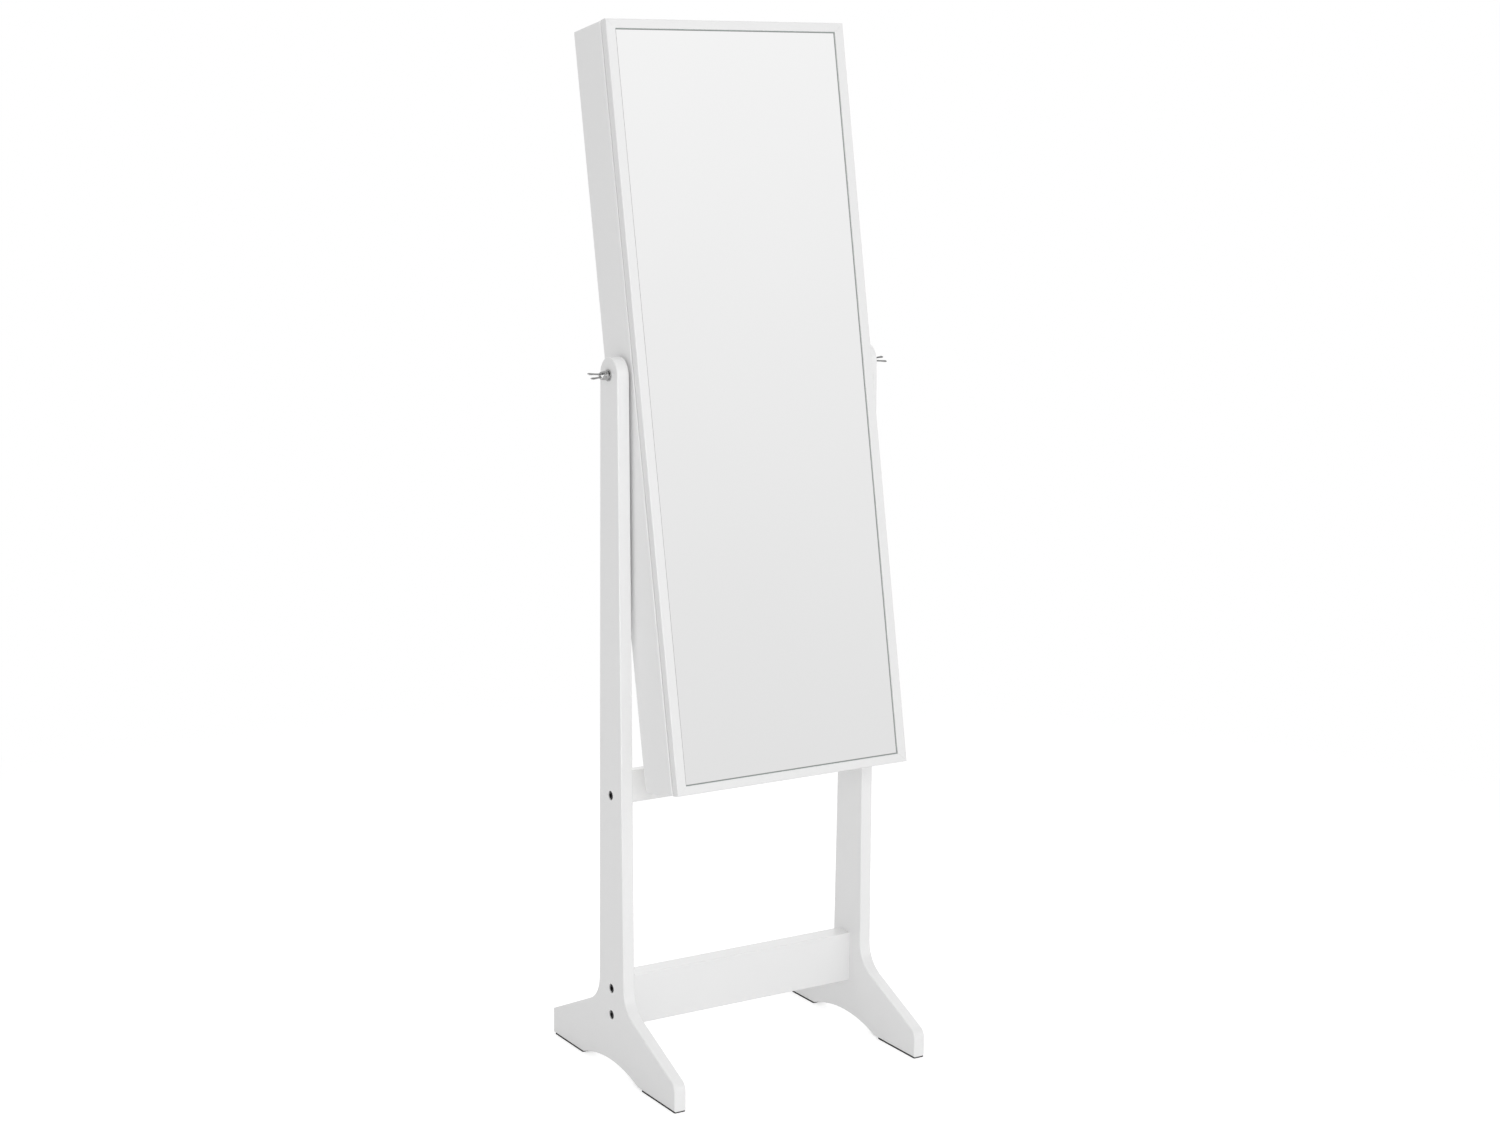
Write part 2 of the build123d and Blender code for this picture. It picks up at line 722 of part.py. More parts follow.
with BuildPart() as ring_cushion:
    with BuildSketch(leaning_level(ring_rise)):
        with Locations((0, lining_front - cushion_depth / 2 - free_gap)):
            Rectangle(2 * (inner_half - cushion_end_gap), cushion_depth)
    extrude(amount=cushion_height)
    top_edges = ring_cushion.edges().group_by(rise_axis)[-1]
    fillet(top_edges, cushion_corner)
save(ring_cushion, "ring_cushion")

# ---- earring plate on its standoffs
plate_back = lining_front - earring_plate_standoff
standoff_across = earring_plate_width - 2 * standoff_inset
standoff_up = earring_plate_height - 2 * standoff_inset
with BuildPart() as earring_plate:
    with BuildSketch(leaning_front(plate_back)):
        with Locations((0, earring_plate_rise)):
            RectangleRounded(earring_plate_width, earring_plate_height, standoff_inset / 2)
            with GridLocations(slot_pitch_across, slot_pitch_up, slot_columns, slot_rows):
                SlotOverall(slot_length, slot_width, mode=Mode.SUBTRACT)
    extrude(amount=earring_plate_thickness)
save(earring_plate, "earring_plate")

with BuildPart() as earring_plate_standoffs:
    with BuildSketch(leaning_front(lining_front)):
        with Locations((0, earring_plate_rise)):
            with GridLocations(standoff_across, standoff_up, 2, 2):
                Circle(standoff_diameter / 2)
    extrude(amount=earring_plate_standoff)
save(earring_plate_standoffs, "earring_plate_standoffs")


# ---- hook rails: a row of bent wire hooks on the cabinet's back, another on the door
def hooks(base, outward, rise, across_places, reach):
    """Wire hooks from a face at depth base; outward is -1 towards the front, 1 to the back."""
    with BuildPart() as wires:
        for across in across_places:
            with BuildLine(leaning_side(across, 1)):
                FilletPolyline(
                    (base, rise),
                    (base + outward * reach, rise),
                    (base + outward * reach, rise + hook_rise),
                    radius=hook_bend,
                )
            with BuildSketch(leaning_front(base)):
                with Locations((across, rise)):
                    Circle(hook_wire / 2)
            sweep()
    return wires


with BuildPart() as necklace_rail:
    with BuildSketch(leaning_front(lining_front)):
        with Locations((0, necklace_rail_rise)):
            Rectangle(2 * inner_half, necklace_rail_height)
    extrude(amount=necklace_rail_thickness)
    fillet(necklace_rail.faces().sort_by(depth_axis)[0].edges().filter_by(Axis.X), edge_round)
save(necklace_rail, "necklace_rail")

necklace_places = places(necklace_hook_count, 2 * inner_half / (necklace_hook_count + 1))
necklace_rail_face = lining_front - necklace_rail_thickness
necklace_hooks = hooks(necklace_rail_face, -1, necklace_rail_rise, necklace_places, hook_reach)
save(necklace_hooks, "necklace_hooks")

with BuildPart() as door_hook_rail:
    with BuildSketch(leaning_front(door_lining_back)):
        with Locations((0, door_hook_rail_rise)):
            Rectangle(door_hook_rail_width, door_hook_rail_height)
    extrude(amount=-door_hook_rail_thickness)
    fillet(door_hook_rail.faces().sort_by(depth_axis)[-1].edges().filter_by(Axis.X), edge_round)
save(door_hook_rail, "door_hook_rail")

door_hook_places = places(door_hook_count, door_hook_rail_width / (door_hook_count + 1))
door_hook_base = door_lining_back + door_hook_rail_thickness
door_hooks = hooks(door_hook_base, 1, door_hook_rail_rise, door_hook_places, door_hook_reach)
save(door_hooks, "door_hooks")

# ---- bracelet rod, held in a cup on each side
with BuildPart() as bracelet_rod:
    with BuildSketch(leaning_side(inner_half - rod_cup_floor, -1)):
        with Locations((-bracelet_rod_depth, bracelet_rod_rise)):
            Circle(bracelet_rod_diameter / 2)
    extrude(amount=-2 * (inner_half - rod_cup_floor))
save(bracelet_rod, "bracelet_rod")

with BuildPart() as bracelet_rod_cups:
    for side in (-1, 1):
        with BuildSketch(leaning_side(inner_half, side)):
            with Locations((side * bracelet_rod_depth, bracelet_rod_rise)):
                Circle(rod_cup_diameter / 2)
        extrude(amount=-rod_cup_length)
    add(bracelet_rod.part, mode=Mode.SUBTRACT)
save(bracelet_rod_cups, "bracelet_rod_cups")

# ---- magnetic catches inside the left side, and their strikes on the door
magnet_front = body_front - magnet_proud
with BuildPart() as catch_magnets:
    with BuildSketch(leaning_front(magnet_front)):
        with Locations([(-inner_half + catch_width / 2, rise) for rise in catch_rises]):
            Rectangle(magnet_width, magnet_height)
    extrude(amount=-magnet_depth)
save(catch_magnets, "catch_magnets")

with BuildPart() as magnet_catches:
    with BuildSketch(leaning_front(body_front + free_gap)):
        with Locations([(-inner_half + catch_width / 2, rise) for rise in catch_rises]):
            Rectangle(catch_width, catch_height)
    extrude(amount=-catch_depth)
    add(catch_magnets.part, mode=Mode.SUBTRACT)
save(magnet_catches, "magnet_catches")

with BuildPart() as strike_plates:
    with BuildSketch(leaning_front(magnet_front - free_gap)):
        with Locations([(strike_across, rise) for rise in catch_rises]):
            Rectangle(strike_width, strike_height)
    extrude(amount=magnet_front - free_gap - door_lining_back)
save(strike_plates, "strike_plates")

# ---- door frame: four mitred members, rebated behind for the glass and its backing
rebate_top = cabinet_above - door_rail_width + glass_lip
rebate_bottom = -cabinet_below + door_rail_width - glass_lip
sight_half = cabinet_half - stile_width
sight_top = cabinet_above - door_rail_width
sight_bottom = -cabinet_below + door_rail_width


def frame_member(outline, along):
    """One member of the door frame from its mitred outline; along is its long direction."""
    with BuildPart() as member:
        with BuildSketch(leaning_front(door_back)):
            with BuildLine():
                Polyline(*outline, close=True)
            make_face()
        extrude(amount=door_thickness)
        chamfer(member.faces().sort_by(depth_axis)[0].edges().filter_by(along, reverse=True), mitre_bevel)
        front_edges = member.faces().sort_by(depth_axis)[0].edges().filter_by(along)
        outer_edge = front_edges.sort_by(SortBy.LENGTH)[-1]
        inner_edge = front_edges.sort_by(SortBy.LENGTH)[0]
        back_edges = member.faces().sort_by(depth_axis)[-1].edges().filter_by(along)
        fillet(outer_edge, door_edge_round)
        fillet(inner_edge, door_inner_round)
        fillet(back_edges.sort_by(SortBy.LENGTH)[-1], door_back_round)
        with BuildSketch(leaning_front(door_back)):
            with Locations((0, (rebate_top + rebate_bottom) / 2)):
                Rectangle(2 * rebate_half, rebate_top - rebate_bottom)
        extrude(amount=door_back - lip_back, mode=Mode.SUBTRACT)
        add(door_hinge_screws.part, mode=Mode.SUBTRACT)
    return member


def stile(side):
    """A stile, the full height of the door at its outer edge."""
    outline = (
        (side * cabinet_half, -cabinet_below),
        (side * cabinet_half, cabinet_above),
        (side * sight_half, sight_top),
        (side * sight_half, sight_bottom),
    )
    return frame_member(outline, rise_axis)


door_left_stile = stile(-1)
save(door_left_stile, "door_left_stile")
door_right_stile = stile(1)
save(door_right_stile, "door_right_stile")


def door_rail(outer, sight):
    """A top or bottom rail of the door, the full width of the door at its outer edge."""
    outline = ((-cabinet_half, outer), (cabinet_half, outer), (sight_half, sight), (-sight_half, sight))
    return frame_member(outline, Axis.X)


door_top_rail = door_rail(cabinet_above, sight_top)
save(door_top_rail, "door_top_rail")
door_bottom_rail = door_rail(-cabinet_below, sight_bottom)
save(door_bottom_rail, "door_bottom_rail")


# ---- door filling: mirror glass, foam tape, backing board and lining
def filling(front, thickness):
    """A sheet that fills the door's rebate with a small gap all round."""
    with BuildPart() as sheet:
        with BuildSketch(leaning_front(front)):
            with Locations((0, (rebate_top + rebate_bottom) / 2)):
                Rectangle(2 * (rebate_half - glass_gap), rebate_top - rebate_bottom - 2 * glass_gap)
        extrude(amount=-thickness)
    return sheet


mirror_glass = filling(lip_back, glass_thickness)
save(mirror_glass, "mirror_glass")
door_backing = filling(tape_back, backing_thickness)
save(door_backing, "door_backing")
door_lining = filling(backing_back, door_lining_thickness)
save(door_lining, "door_lining")

with BuildPart() as mirror_tape:
    with BuildSketch(leaning_front(glass_back)):
        with Locations([(across, rise_middle) for across in places(tape_count, 2 * rebate_half / tape_count)]):
            Rectangle(tape_width, cabinet_height - 2 * tape_end_gap)
    extrude(amount=-tape_thickness)
save(mirror_tape, "mirror_tape")

with BuildPart() as door_bumpers:
    across = -cabinet_half + (stile_width - glass_lip) / 2
    bumper_rises = (cabinet_above - bumper_from_end, -cabinet_below + bumper_from_end)
    with BuildSketch(leaning_front(door_back)):
        with Locations([(across, rise) for rise in bumper_rises]):
            Circle(bumper_diameter / 2)
    extrude(amount=-bumper_thickness)
save(door_bumpers, "door_bumpers")
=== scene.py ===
"""Cheval mirror with a jewellery cabinet: the looks of each piece, in the order in which the real
one is put together. Metres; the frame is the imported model's."""

import json
from math import cos, floor, pi, radians, sin, sqrt

import bmesh
import bpy
from mathutils import Matrix, Vector


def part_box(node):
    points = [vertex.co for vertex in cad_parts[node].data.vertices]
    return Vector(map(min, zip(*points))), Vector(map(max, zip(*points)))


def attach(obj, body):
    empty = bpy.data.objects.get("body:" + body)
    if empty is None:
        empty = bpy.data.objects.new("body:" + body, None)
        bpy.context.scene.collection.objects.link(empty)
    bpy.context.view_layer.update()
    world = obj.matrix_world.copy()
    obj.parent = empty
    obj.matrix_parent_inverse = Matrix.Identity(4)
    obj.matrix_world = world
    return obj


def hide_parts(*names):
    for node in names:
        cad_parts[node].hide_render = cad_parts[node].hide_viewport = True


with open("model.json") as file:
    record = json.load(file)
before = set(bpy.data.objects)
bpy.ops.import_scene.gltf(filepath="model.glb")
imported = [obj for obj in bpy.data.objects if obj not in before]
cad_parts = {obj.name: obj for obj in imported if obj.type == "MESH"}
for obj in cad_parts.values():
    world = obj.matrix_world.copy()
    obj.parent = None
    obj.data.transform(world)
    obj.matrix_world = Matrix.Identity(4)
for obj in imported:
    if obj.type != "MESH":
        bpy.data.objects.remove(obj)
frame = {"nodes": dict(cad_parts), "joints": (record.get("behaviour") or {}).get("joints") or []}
nodes = frame["nodes"]
joints = {joint["name"]: joint for joint in frame["joints"]}
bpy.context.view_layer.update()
mm = 0.001

# ---- Studio: a pale floor that runs off to white, an overhead and a front softbox, and a soft sky
# that is brighter behind on the right and, in front, with height. Shiny surfaces also see a dark
# flag overhead and a bright panel low on the left, for the light lines along the eased edges.
scene = bpy.context.scene
scene.view_settings.view_transform = "Standard"
front_way, rear_right_way, panel_way = (0.5, -0.84, 0.2), (0.6, 0.78, 0.15), (-1.0, 0.0, 0.0)
low_glow, high_glow, flag_glow = 0.80, 1.02, 0.03
plain_glow, rear_right_glow = 0.60, 1.2
panel_edge, panel_glow = (0.80, 0.88), 3.5
flag_edges = [  # where each edge of the flag begins, where it is full, and the axis it runs on
    (-0.76, -0.72, "Y"), (0.04, -0.02, "Y"), (0.26, 0.32, "Z")]


def linear(code):
    """An sRGB hex colour as linear red, green, blue and alpha."""
    parts = [int(code[place:place + 2], 16) / 255 for place in (1, 3, 5)]
    return [part / 12.92 if part <= 0.04045 else ((part + 0.055) / 1.055) ** 2.4 for part in parts] + [1.0]


def add_node(tree, kind, sockets, **settings):
    """Adds one node; sockets gives a value, or another node's output to link, for each input."""
    made = tree.nodes.new("ShaderNode" + kind)
    for name, value in settings.items():
        setattr(made, name, value)
    for socket, value in sockets.items():
        if isinstance(value, bpy.types.NodeSocket):
            tree.links.new(value, made.inputs[socket])
        else:
            made.inputs[socket].default_value = value
    return made


studio = bpy.data.worlds.new("soft_sky")
studio.use_nodes = True
sky = studio.node_tree
sky.nodes.clear()
where = add_node(sky, "TexCoord", {})
towards = add_node(sky, "SeparateXYZ", {"Vector": where.outputs["Generated"]})
height_glow = add_node(
    sky, "MapRange",
    {"Value": towards.outputs["Z"], "From Min": 0.04, "From Max": 0.36,
     "To Min": low_glow, "To Max": high_glow},
    interpolation_type="SMOOTHSTEP")
behind = add_node(
    sky, "VectorMath", {0: where.outputs["Generated"], 1: rear_right_way}, operation="DOT_PRODUCT")
rear_glow = add_node(
    sky, "MapRange",
    {"Value": behind.outputs["Value"], "From Min": 0.35, "From Max": 0.85,
     "To Min": plain_glow, "To Max": rear_right_glow},
    interpolation_type="SMOOTHSTEP")
facing = add_node(
    sky, "VectorMath", {0: where.outputs["Generated"], 1: front_way}, operation="DOT_PRODUCT")
frontness = add_node(
    sky, "MapRange", {"Value": facing.outputs["Value"], "From Min": 0.74, "From Max": 0.93},
    interpolation_type="SMOOTHSTEP")
glow = add_node(
    sky, "Mix",
    {"Factor": frontness.outputs["Result"], "A": rear_glow.outputs["Result"],
     "B": height_glow.outputs["Result"]})
ray = add_node(sky, "LightPath", {})
flag_shade = ray.outputs["Is Glossy Ray"]
for edge_from, edge_to, axis in flag_edges:
    edge = add_node(
        sky, "MapRange", {"Value": towards.outputs[axis], "From Min": edge_from, "From Max": edge_to})
    shaded = add_node(sky, "Math", {0: flag_shade, 1: edge.outputs["Result"]}, operation="MULTIPLY")
    flag_shade = shaded.outputs[0]
flagged_glow = add_node(sky, "Mix", {"Factor": flag_shade, "A": glow.outputs["Result"], "B": flag_glow})
sideways = add_node(
    sky, "VectorMath", {0: where.outputs["Generated"], 1: panel_way}, operation="DOT_PRODUCT")
panel = add_node(
    sky, "MapRange",
    {"Value": sideways.outputs["Value"], "From Min": panel_edge[0], "From Max": panel_edge[1],
     "To Max": panel_glow})
panel_top = add_node(
    sky, "MapRange",
    {"Value": towards.outputs["Z"], "From Min": -0.02, "From Max": 0.02, "To Min": 1.0, "To Max": 0.0})
low_panel = add_node(
    sky, "Math", {0: panel.outputs["Result"], 1: panel_top.outputs["Result"]}, operation="MULTIPLY")
shiny_panel = add_node(
    sky, "Math",
    {0: low_panel.outputs[0], 1: ray.outputs["Is Glossy Ray"], 2: flagged_glow.outputs["Result"]},
    operation="MULTIPLY_ADD")
seen_glow = add_node(
    sky, "Mix", {"Factor": ray.outputs["Is Camera Ray"], "A": shiny_panel.outputs[0], "B": 1.0})
light = add_node(sky, "Background", {"Color": linear("#ffffff"), "Strength": seen_glow.outputs["Result"]})
add_node(sky, "OutputWorld", {"Surface": light.outputs["Background"]})
scene.world = studio

softboxes = [  # name, side in metres, watts and place
    ("overhead_softbox", 3.2, 10, (0.2, -0.6, 3.6)),
    ("front_softbox", 1.7, 44, (-1.6, -3.8, 1.7))]
aim = Vector((0.0, 0.0, 0.8))
for name, width, energy, spot in softboxes:
    lamp = bpy.data.lights.new(name, "AREA")
    lamp.shape, lamp.size, lamp.energy = "SQUARE", width, energy
    softbox = bpy.data.objects.new(name, lamp)
    softbox.location = spot
    softbox.rotation_euler = (Vector(spot) - aim).to_track_quat("Z", "Y").to_euler()
    scene.collection.objects.link(softbox)

floor_reach = 9.0
fade_start, fade_end = 0.7, 2.2
floor_mesh = bpy.data.meshes.new("studio_floor")
floor_bm = bmesh.new()
bmesh.ops.create_grid(floor_bm, x_segments=2, y_segments=2, size=floor_reach)
floor_bm.to_mesh(floor_mesh)
floor_bm.free()
studio_floor = bpy.data.objects.new("studio_floor", floor_mesh)
scene.collection.objects.link(studio_floor)
pale = bpy.data.materials.new("pale_studio_floor")
pale.use_nodes = True
ground = pale.node_tree
ground.nodes.clear()
place = add_node(ground, "TexCoord", {}).outputs["Object"]
distance = add_node(ground, "VectorMath", {0: place}, operation="LENGTH").outputs["Value"]
fade = add_node(
    ground, "MapRange", {"Value": distance, "From Min": fade_start, "From Max": fade_end},
    interpolation_type="SMOOTHSTEP")
painted = add_node(ground, "BsdfDiffuse", {"Color": linear("#e4e4e4")})
glowing = add_node(ground, "Emission", {"Color": linear("#ffffff"), "Strength": 0.5})
lit_floor = add_node(ground, "AddShader", {0: painted.outputs[0], 1: glowing.outputs[0]})
white_out = add_node(ground, "Emission", {"Color": linear("#ffffff"), "Strength": 1.0})
seen_floor = add_node(
    ground, "MixShader", {0: fade.outputs["Result"], 1: lit_floor.outputs[0], 2: white_out.outputs[0]})
bounce = add_node(ground, "BsdfDiffuse", {"Color": linear("#f2f2f2")})
ray = add_node(ground, "LightPath", {})
outward = add_node(ground, "VectorMath", {0: place}, operation="NORMALIZE").outputs["Vector"]
sideways = add_node(ground, "VectorMath", {0: outward, 1: panel_way}, operation="DOT_PRODUCT")
panel = add_node(
    ground, "MapRange",
    {"Value": sideways.outputs["Value"], "From Min": panel_edge[0], "From Max": panel_edge[1],
     "To Max": panel_glow})
far_panel = add_node(
    ground, "Math", {0: panel.outputs["Result"], 1: fade.outputs["Result"]}, operation="MULTIPLY")
shiny_panel = add_node(
    ground, "Math", {0: far_panel.outputs[0], 1: ray.outputs["Is Glossy Ray"]}, operation="MULTIPLY")
panel_light = add_node(ground, "Emission", {"Color": linear("#ffffff"), "Strength": shiny_panel.outputs[0]})
shiny_bounce = add_node(ground, "AddShader", {0: bounce.outputs[0], 1: panel_light.outputs[0]})
either = add_node(
    ground, "MixShader",
    {0: ray.outputs["Is Camera Ray"], 1: shiny_bounce.outputs[0], 2: seen_floor.outputs[0]})
add_node(ground, "OutputMaterial", {"Surface": either.outputs[0]})
floor_mesh.materials.append(pale)

camera_place = Vector((-1.870326, -3.029231, 1.381771))
camera_turn, camera_nod, camera_roll = radians(31.571), radians(-13.313), radians(0.404)
ahead = Vector((sin(camera_turn) * cos(camera_nod), cos(camera_turn) * cos(camera_nod), sin(camera_nod)))
level_right = Vector((cos(camera_turn), -sin(camera_turn), 0.0))
level_up = level_right.cross(ahead)
right = level_right * cos(camera_roll) + level_up * sin(camera_roll)
upward = level_up * cos(camera_roll) - level_right * sin(camera_roll)
lens = bpy.data.cameras.new("camera")
lens.sensor_width, lens.lens = 36.0, 61.677
lens.shift_x, lens.shift_y = 0.01049, 0.08362
camera = bpy.data.objects.new("camera", lens)
facing_ahead = Matrix((right, upward, -ahead)).transposed().to_4x4()
camera.matrix_world = Matrix.Translation(camera_place) @ facing_ahead
scene.collection.objects.link(camera)
scene.camera = camera

# ---- Side frames and rails: each post and foot is one 18 mm MDF board, cut to shape and eased,
# and the rails are 15 mm board, all sprayed in white satin lacquer. The lacquer gives a faint
# orange peel, and its gloss and white drift a little from place to place.
lacquered = ["left_side_frame", "right_side_frame", "lower_rail", "lower_rail_backer", "middle_rail"]
peel_size, cloud_size = 1.6 * mm, 140 * mm


def new_material(name):
    """An empty material with a Principled shader: the material, its tree and the shader."""
    made = bpy.data.materials.new(name)
    made.use_nodes = True
    return made, made.node_tree, made.node_tree.nodes["Principled BSDF"]


def dress(material, names):
    """Gives a material to pieces of the frame."""
    for name in names:
        nodes[name].data.materials.clear()
        nodes[name].data.materials.append(material)


satin, tree, shader = new_material("white_satin_lacquer_on_mdf")
place = add_node(tree, "TexCoord", {}).outputs["Object"]
clouds = add_node(tree, "TexNoise", {"Vector": place, "Scale": 1 / cloud_size, "Detail": 3.0})
peel = add_node(
    tree, "TexNoise", {"Vector": place, "Scale": 1 / peel_size, "Detail": 2.0, "Roughness": 0.4})
white = add_node(
    tree, "Mix", {"Factor": clouds.outputs["Fac"], 6: linear("#f0f0f0"), 7: linear("#f2f2f2")},
    data_type="RGBA")
gloss = add_node(
    tree, "MapRange",
    {"Value": clouds.outputs["Fac"], "From Min": 0.3, "From Max": 0.7, "To Min": 0.2, "To Max": 0.23})
skin = add_node(tree, "Bump", {"Height": peel.outputs["Fac"], "Strength": 0.12, "Distance": 0.05 * mm})
tree.links.new(white.outputs[2], shader.inputs["Base Color"])
tree.links.new(gloss.outputs["Result"], shader.inputs["Roughness"])
tree.links.new(skin.outputs["Normal"], shader.inputs["Normal"])
dress(satin, lacquered)

# ---- Rail bolts, barrel nuts and dowels: black oxide socket bolts pull each rail against its
# posts through zinc-plated barrel nuts, and beech dowels keep the rails from turning. The oxide
# gives a dark oily sheen with a slight mottle.
black_oxide, tree, shader = new_material("black_oxide_on_turned_steel")
place = add_node(tree, "TexCoord", {}).outputs["Object"]
mottle = add_node(tree, "TexNoise", {"Vector": place, "Scale": 1 / (0.8 * mm), "Detail": 4.0})
oxide = add_node(
    tree, "Mix", {"Factor": mottle.outputs["Fac"], 6: linear("#131314"), 7: linear("#2a2a2d")},
    data_type="RGBA")
gloss = add_node(tree, "MapRange", {"Value": mottle.outputs["Fac"], "To Min": 0.28, "To Max": 0.5})
tree.links.new(oxide.outputs[2], shader.inputs["Base Color"])
tree.links.new(gloss.outputs["Result"], shader.inputs["Roughness"])
shader.inputs["Metallic"].default_value = 0.85
dress(black_oxide, ["rail_bolts"])

zinc, tree, shader = new_material("clear_zinc_plate_on_steel")
place = add_node(tree, "TexCoord", {}).outputs["Object"]
spangle = add_node(tree, "TexVoronoi", {"Vector": place, "Scale": 1 / (1.5 * mm)})
plate = add_node(
    tree, "Mix", {"Factor": spangle.outputs["Distance"], 6: linear("#a9adb2"), 7: linear("#c3c6c8")},
    data_type="RGBA")
gloss = add_node(tree, "MapRange", {"Value": spangle.outputs["Distance"], "To Min": 0.26, "To Max": 0.42})
tree.links.new(plate.outputs[2], shader.inputs["Base Color"])
tree.links.new(gloss.outputs["Result"], shader.inputs["Roughness"])
shader.inputs["Metallic"].default_value = 1.0
zinc_nodes = [
    "barrel_nuts", "hinge_pins", "cabinet_hinge_screws", "door_hinge_screws", "strike_plates",
    "earring_plate_standoffs"]
dress(zinc, zinc_nodes)

beech, tree, shader = new_material("fluted_beech_dowel")
place = add_node(tree, "TexCoord", {}).outputs["Object"]
along = add_node(
    tree, "Mapping", {"Vector": place, "Scale": (1 / (12 * mm), 1 / (0.9 * mm), 1 / (0.9 * mm))})
grain = add_node(tree, "TexNoise", {"Vector": along.outputs["Vector"], "Scale": 1.0, "Detail": 5.0})
wood = add_node(
    tree, "Mix", {"Factor": grain.outputs["Fac"], 6: linear("#c29a6b"), 7: linear("#dcbc92")},
    data_type="RGBA")
pores = add_node(tree, "Bump", {"Height": grain.outputs["Fac"], "Strength": 0.4, "Distance": 0.1 * mm})
tree.links.new(wood.outputs[2], shader.inputs["Base Color"])
tree.links.new(pores.outputs["Normal"], shader.inputs["Normal"])
shader.inputs["Roughness"].default_value = 0.7
dress(beech, ["rail_dowels", "corner_dowels", "shelf_dowels"])

# ---- Foot pads: black felt-faced rubber strips stuck under both ends of each foot. The felt
# gives a dead black with a short fuzzy nap.
felt, tree, shader = new_material("black_felt_on_rubber")
place = add_node(tree, "TexCoord", {}).outputs["Object"]
fibres = add_node(
    tree, "TexNoise", {"Vector": place, "Scale": 1 / (0.7 * mm), "Detail": 6.0, "Distortion": 1.5})
nap = add_node(
    tree, "Mix", {"Factor": fibres.outputs["Fac"], 6: linear("#0f0f10"), 7: linear("#2b2b2c")},
    data_type="RGBA")
fuzz = add_node(tree, "Bump", {"Height": fibres.outputs["Fac"], "Strength": 0.6, "Distance": 0.15 * mm})
tree.links.new(nap.outputs[2], shader.inputs["Base Color"])
tree.links.new(fuzz.outputs["Normal"], shader.inputs["Normal"])
shader.inputs["Roughness"].default_value = 0.92
dress(felt, ["left_foot_pads", "right_foot_pads"])

# ---- Wing screws and washers: zinc die-cast heads with two flattened prongs on an M6 screw,
# bright nickel plated, as are the hinge leaves, the hooks and the rod. The plate is mirror bright,
# broken only by faint polishing lines.
nickel, tree, shader = new_material("bright_nickel_plate")
place = add_node(tree, "TexCoord", {}).outputs["Object"]
# Real polishing lines are much finer. These are drawn 0.25 mm wide so that they show.
brushed = add_node(
    tree, "Mapping", {"Vector": place, "Scale": (1 / (4 * mm), 1 / (0.25 * mm), 1 / (0.25 * mm))})
polish = add_node(tree, "TexNoise", {"Vector": brushed.outputs["Vector"], "Scale": 1.0, "Detail": 3.0})
metal = add_node(
    tree, "Mix", {"Factor": polish.outputs["Fac"], 6: linear("#aaaaaa"), 7: linear("#c4c4c4")},
    data_type="RGBA")
gloss = add_node(tree, "MapRange", {"Value": polish.outputs["Fac"], "To Min": 0.06, "To Max": 0.14})
tree.links.new(metal.outputs[2], shader.inputs["Base Color"])
tree.links.new(gloss.outputs["Result"], shader.inputs["Roughness"])
shader.inputs["Metallic"].default_value = 1.0
nickel_nodes = [
    "left_washer", "right_washer", "cabinet_hinge_leaves", "door_hinge_leaves", "necklace_hooks",
    "door_hooks", "bracelet_rod"]
dress(nickel, nickel_nodes)

boss_radius, boss_length = 6.3 * mm, 11.5 * mm
shank_radius, thread_pitch, thread_depth = 2.95 * mm, 1.0 * mm, 0.3 * mm
boss_profile = [  # distance along the boss and share of its radius
    (0.0, 0.0), (0.0, 0.9), (0.03, 0.97), (0.08, 1.0), (0.3, 0.99), (0.36, 0.95), (0.42, 0.95), (0.48, 0.97),
    (0.78, 0.92), (0.86, 0.88), (0.93, 0.79), (0.98, 0.64), (1.0, 0.45), (1.0, 0.0)]
wing_stations = [  # distance out, offset from the axis, half width and half thickness, in mm
    (-4.5, 3.0, 2.2, 1.2), (-1.5, 3.2, 2.1, 1.15), (1.5, 3.5, 1.8, 1.05), (5.0, 4.0, 1.6, 1.0),
    (8.5, 4.6, 1.8, 1.05), (11.5, 5.0, 2.1, 1.15), (14.0, 5.2, 2.15, 1.15), (15.6, 5.25, 1.7, 0.95),
    (16.4, 5.25, 0.9, 0.5)]
turned_points, wing_points, steps_per_turn = 56, 20, 6
boss_gap = 0.1 * mm
wing_lean = Matrix.Rotation(radians(30.0), 3, "X")


def close_rings(bm, rings, cap_ends=True):
    """Joins rings of vertices into a closed skin."""
    for first, second in zip(rings, rings[1:]):
        for index in range(len(first)):
            after = (index + 1) % len(first)
            bm.faces.new((first[index], first[after], second[after], second[index]))
    if cap_ends:
        bm.faces.new(list(reversed(rings[0])))
        bm.faces.new(rings[-1])


def finish_piece(bm, name, material, body, smooth_angle=40):
    """Makes an object of a bmesh, with smooth faces between its sharp edges, on its body."""
    bmesh.ops.recalc_face_normals(bm, faces=bm.faces)
    for edge in bm.edges:
        if len(edge.link_faces) == 2 and edge.calc_face_angle(0.0) > radians(smooth_angle):
            edge.smooth = False
    for face in bm.faces:
        face.smooth = True
    mesh = bpy.data.meshes.new(name)
    bm.to_mesh(mesh)
    bm.free()
    mesh.materials.append(material)
    piece = bpy.data.objects.new(name, mesh)
    scene.collection.objects.link(piece)
    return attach(piece, body)


